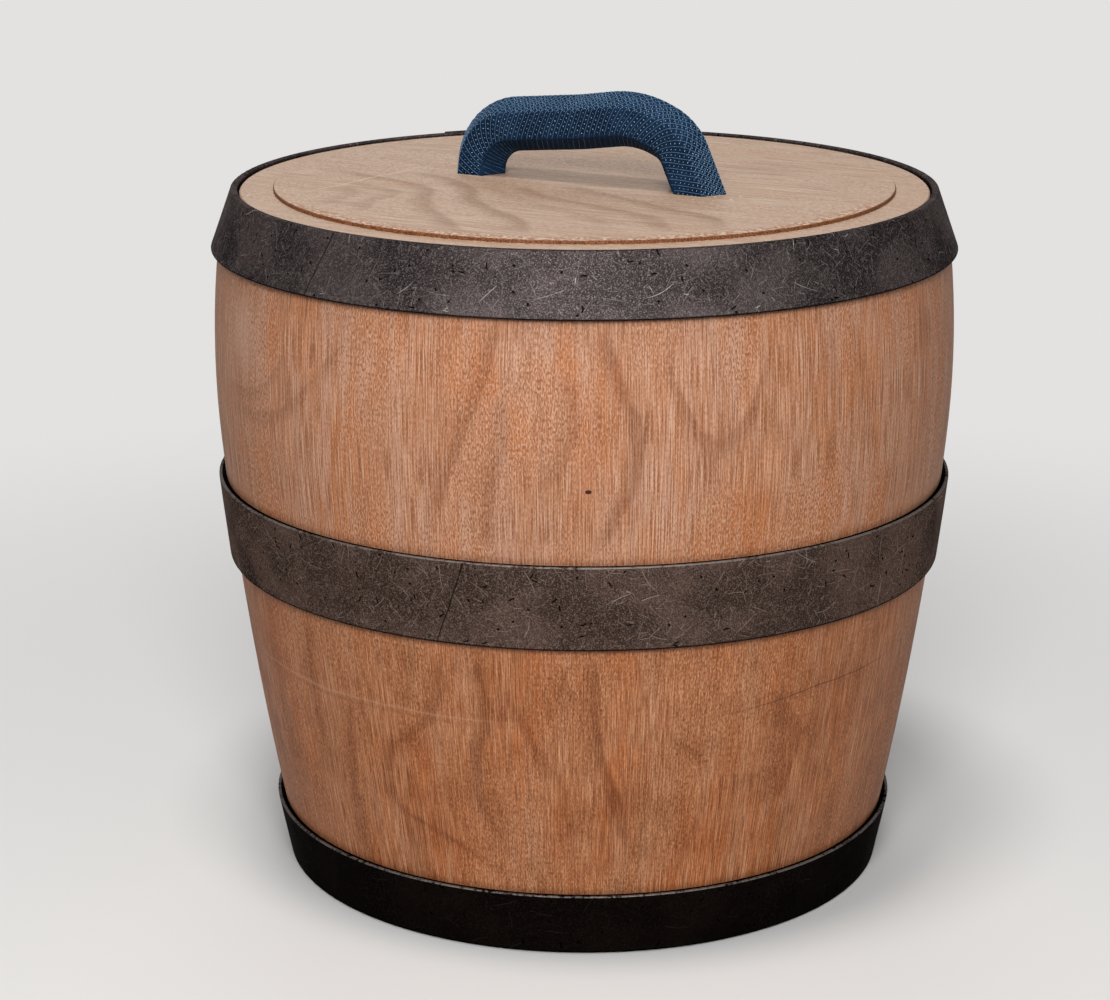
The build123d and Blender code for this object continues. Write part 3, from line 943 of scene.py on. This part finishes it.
def threadTree(material):
    sizes = {
        "Starts": threads["starts"],
        "Turn Rate": threads["turnRate"],
        "Crown Lag": threads["crownLag"],
        "Samples": threads["samples"],
        "Thickness": threads["thickness"],
        "Lift": threads["lift"],
        "Sink": threads["sink"],
        "Line Sink": threads["lineSink"],
        "Knots": threads["knotCount"],
        "Seed": threads["seed"],
    }
    tree, board, entry = newTree("handleThreadTree", sizes)
    bow = bowLine(board, entry["Geometry"])
    length = board.node("GeometryNodeCurveLength", None, {"Curve": bow})
    flatOff = sleeve["radius"] * math.cos(wedge / 2)
    cornerOff = sleeve["radius"] - sleeve["cornerRadius"] * (1 / math.cos(wedge / 2) - 1)
    acrossBow = (0.0, 1.0, 0.0)

    def toned(geometry, domain, tone):
        settings = {"data_type": "FLOAT", "domain": domain}
        values = {"Geometry": geometry, "Name": "yarnTone", "Value": tone}
        return board.node("GeometryNodeStoreNamedAttribute", settings, values)

    # one family of windings on the hexagon, each as many points as asked
    def windings(count, offset, sense, hide, crownOnly=False, tone=0.0):
        straight = board.node("GeometryNodeCurvePrimitiveLine", None, {"End": (1.0, 0.0, 0.0)})
        values = {"Curve": straight, "Count": count}
        straight = board.node("GeometryNodeResampleCurve", {"mode": "COUNT"}, values)
        values = {"Geometry": straight, "Amount": entry["Starts"]}
        copies = board.node("GeometryNodeDuplicateElements", {"domain": "SPLINE"}, values)
        order = copies.beside("Duplicate Index")
        along = board.node("GeometryNodeSplineParameter", None, None, "Factor") * length
        wound = (order + offset) * math.tau / entry["Starts"] - along * entry["Turn Rate"] * sense
        angle = wound - wound.sine() * entry["Crown Lag"]  # the windings lie flatter over the crown
        inWedge = angle.maths("FLOORED_MODULO", angle, wedge)
        reach = flatOff / (inWedge - wedge / 2).cosine()
        reach = reach.least(cornerOff) + entry["Lift"]
        if crownOnly:
            buried = board.ease(angle.cosine(), *reversed(threads["crownShows"]))
            reach = reach - buried * entry["Sink"]
        reach = reach - board.ease(angle.cosine(), *threads["underside"]) * hide
        # painted light: threads are made paler where the bow's face looks up
        crownLight = board.ease(angle.cosine(), *threads["crownShows"])
        copies = toned(copies, "POINT", crownLight * threads["crownLightTone"] + tone)
        values = {"Curves": bow, "Length": along}
        at = board.node("GeometryNodeSampleCurve", {"mode": "LENGTH"}, values, "Position")
        ahead = at.beside("Tangent")
        crown = board.vector("CROSS_PRODUCT", ahead, acrossBow)

        def direction(turn):
            up = board.vector("SCALE", crown, turn.cosine(), "Scale")
            aside = board.vector("SCALE", acrossBow, 0 - turn.sine(), "Scale")
            return board.vector("ADD", up, aside)

        spot = board.vector("ADD", at, board.vector("SCALE", direction(angle), reach, "Scale"))
        placed = board.node("GeometryNodeSetPosition", None, {"Geometry": copies, "Position": spot})
        faceAngle = angle - inWedge + wedge / 2
        return placed, ahead, direction(faceAngle), direction(faceAngle + math.pi / 2)

    values = {"Resolution": threads["sides"], "Radius": entry["Thickness"]}
    section = board.node("GeometryNodeCurvePrimitiveCircle", None, values)
    parts = []
    families = (
        (0.0, 1, False, threads["windTone"]),
        (threads["crossOffset"], -1, True, threads["crossTone"]),
    )
    for offset, sense, crownOnly, tone in families:
        lines = windings(entry["Samples"], offset, sense, entry["Line Sink"], crownOnly, tone)[0]
        values = {"Curve": lines, "Profile Curve": section, "Fill Caps": True}
        parts.append(board.node("GeometryNodeCurveToMesh", None, values))

    # short knots of the crossing threads, halfway between the windings
    places, ahead, outward, onward = windings(entry["Knots"], threads["knotOffset"], 1, entry["Sink"])
    crossing = board.vector("SCALE", onward, entry["Turn Rate"] * flatOff, "Scale")
    crossing = board.vector("ADD", ahead, crossing)
    settings = {"primary_axis": "Z", "secondary_axis": "X"}
    values = {"Primary Axis": outward, "Secondary Axis": crossing}
    facing = board.node("FunctionNodeAxesToRotation", settings, values)
    bead = board.node("GeometryNodeMeshIcoSphere", None, {"Radius": 1.0, "Subdivisions": 1})
    values = {
        "Points": places,
        "Instance": bead,
        "Rotation": facing,
        "Scale": (threads["knotLength"], threads["knotWidth"], threads["knotHeight"]),
    }
    knots = board.node("GeometryNodeInstanceOnPoints", None, values)
    low, high = threads["knotTones"]
    values = {2: low, 3: high, "Seed": entry["Seed"]}
    chance = board.node("FunctionNodeRandomValue", {"data_type": "FLOAT"}, values, 1)
    parts.append(toned(knots, "INSTANCE", chance))
    joined = tree.nodes.new("GeometryNodeJoinGeometry")
    for part in parts:
        tree.links.new(part.socket, joined.inputs[0])
    whole = board.node("GeometryNodeRealizeInstances", None, {"Geometry": Wire(board, joined.outputs[0])})
    whole = board.node("GeometryNodeSetMaterial", None, {"Geometry": whole, "Material": material})
    board.node("NodeGroupOutput", None, {"Geometry": whole})
    return tree, sizes


clothLook = {
    "deep": paint(11, 23, 38),
    "blue": paint(24, 46, 70),
    "faded": paint(34, 60, 88),
    "yarnDim": paint(60, 94, 126),
    "yarnBright": paint(176, 204, 224),
    "yarnWorn": paint(36, 62, 90),
    "fuzzScale": 1900.0,
    "fuzzDetail": 3.0,
    "fuzzShows": (0.35, 0.7),
    "fadeScale": 60.0,
    "fadeShows": (0.4, 0.7),
    "fadeShare": 0.3,
    "wornShows": (0.5, 0.3),
    "wornShare": 0.5,
    "bumpDepth": 0.0002,
    "roughness": 0.85,
    "roughSpread": 0.2,
    "gloss": 0.12,
}


def closeCloth(board, colour, fuzz, bumpDepth):
    roughness = clothLook["roughness"] + fuzz.swing(clothLook["roughSpread"])
    fixed = {"Specular IOR Level": clothLook["gloss"]}
    close(board, shade(board, colour, roughness, fuzz, bumpDepth, fixed))


def clothFinish():
    material, board, place = newFinish("sleeveCloth")
    look = clothLook
    fuzz = board.noise(place, look["fuzzScale"], look["fuzzDetail"])
    faded = board.noise(place, look["fadeScale"])
    colour = board.mix(board.ease(fuzz, *look["fuzzShows"]), look["deep"], look["blue"])
    colour = board.mix(board.ease(faded, *look["fadeShows"]) * look["fadeShare"], colour, look["faded"])
    closeCloth(board, colour, fuzz, look["bumpDepth"])
    return material


def yarnFinish():
    material, board, place = newFinish("sleeveYarn")
    look = clothLook
    level = board.node("ShaderNodeAttribute", {"attribute_name": "yarnTone"}, None, "Fac")
    fuzz = board.noise(place, look["fuzzScale"])
    colour = board.mix(level, look["yarnDim"], look["yarnBright"])
    colour = board.mix(board.ease(fuzz, *look["wornShows"]) * look["wornShare"], colour, look["yarnWorn"])
    closeCloth(board, colour, fuzz, look["bumpDepth"] / 2)
    return material


handleSleeve = grow("handleSleeve", *sleeveTree(clothFinish()))
handleThreads = grow("handleThreads", *threadTree(yarnFinish()))
for piece in (handleSleeve, handleThreads):
    cutLevel(piece.data, lidTop + sleeve["footGap"], fill=piece is handleThreads)
    piece.data.shade_smooth()
    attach(piece, "lid")
handleSleeve.data.set_sharp_from_angle(angle=math.radians(sleeve["sharpFrom"]))
wall = handleSleeve.modifiers.new("wall", "SOLIDIFY")
wall.thickness = sleeve["wall"]
wall.offset = -1.0  # the cloth's thickness lies inside the skin
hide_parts("handle_wrap")
faceCounts = [len(piece.data.polygons) for piece in (handleSleeve, handleThreads)]
print("faces of the sleeve and its threads:", *faceCounts)


# Stage: pale floor that runs into a plain backdrop, soft lamps, the photograph's camera
stage = {
    "floorRadius": 40.0,
    "floorSides": 96,
    "floorColour": paint(222, 220, 217),
    "floorGrain": 3.0,
    "floorRoughness": 0.9,
    "floorSpread": 0.05,
    "floorBump": 0.0001,
    "bounceColour": paint(130, 128, 126),  # what the floor throws back on the object
    "backdropColour": paint(226, 225, 223),
    "backdropFrom": (0.32, 1.0),
    "worldColour": (0.9, 0.94, 1.0, 1.0),
    "worldStrength": 0.24,
    "lamps": (
        {"name": "topLamp", "place": (0.1, -0.5, 2.7), "size": 0.6, "power": 25.0},
        {"name": "frontLamp", "place": (1.18, -2.31, 1.7), "size": 1.4, "power": 74.0},
        {"name": "backLamp", "place": (-1.4, 2.2, 1.9), "size": 1.8, "power": 14.0},
    ),
    "target": (0.0, 0.0, 0.19),
    "camera": (0.7173, -1.3299, 0.62164),
    "tilt": 74.014,
    "heading": 28.911,
    "lens": 96.34,
    "sensor": 36.0,
}

floorMesh = bpy.data.meshes.new("floor")
ring = [math.tau * at / stage["floorSides"] for at in range(stage["floorSides"])]
rim = [(stage["floorRadius"] * math.cos(turn), stage["floorRadius"] * math.sin(turn), 0.0) for turn in ring]
floorMesh.from_pydata(rim, [], [range(stage["floorSides"])])
floor = bpy.data.objects.new("floor", floorMesh)
bpy.context.scene.collection.objects.link(floor)
floorMaterial, board, place = newFinish("paleFloor")
rays = board.node("ShaderNodeLightPath", None, None, "Is Camera Ray")
seen = rays.most(rays.beside("Is Glossy Ray")).most(rays.beside("Is Transmission Ray"))
grainy = board.noise(place, stage["floorGrain"])
colour = board.mix(seen, stage["bounceColour"], stage["floorColour"])
roughness = stage["floorRoughness"] + grainy.swing(stage["floorSpread"])
plain = shade(board, colour, roughness, grainy, stage["floorBump"])
x, y, _ = board.axes(place)
far = board.ease((x * x + y * y).root(), *stage["backdropFrom"]) * seen
glow = board.node("ShaderNodeEmission", None, {"Color": stage["backdropColour"]})
close(board, board.node("ShaderNodeMixShader", None, {0: far, 1: plain, 2: glow}))
floorMesh.materials.append(floorMaterial)

world = bpy.data.worlds.new("studio")
world.use_nodes = True
bpy.context.scene.world = world
background = world.node_tree.nodes["Background"]
background.inputs["Color"].default_value = stage["worldColour"]
background.inputs["Strength"].default_value = stage["worldStrength"]

target = bpy.data.objects.new("lampTarget", None)
target.location = stage["target"]
bpy.context.scene.collection.objects.link(target)
for look in stage["lamps"]:
    lamp = bpy.data.lights.new(look["name"], "AREA")
    lamp.shape = "DISK"
    lamp.size = look["size"]
    lamp.energy = look["power"]
    holder = bpy.data.objects.new(look["name"], lamp)
    holder.location = look["place"]
    aim = holder.constraints.new("TRACK_TO")
    aim.target = target
    aim.track_axis = "TRACK_NEGATIVE_Z"
    aim.up_axis = "UP_Y"
    bpy.context.scene.collection.objects.link(holder)

lens = bpy.data.cameras.new("photoCamera")
lens.sensor_width = stage["sensor"]
lens.lens = stage["lens"]
camera = bpy.data.objects.new("photoCamera", lens)
camera.location = stage["camera"]
camera.rotation_euler = (math.radians(stage["tilt"]), 0.0, math.radians(stage["heading"]))
bpy.context.scene.collection.objects.link(camera)
bpy.context.scene.camera = camera
bpy.context.scene.view_settings.view_transform = "Standard"
print("stage set")
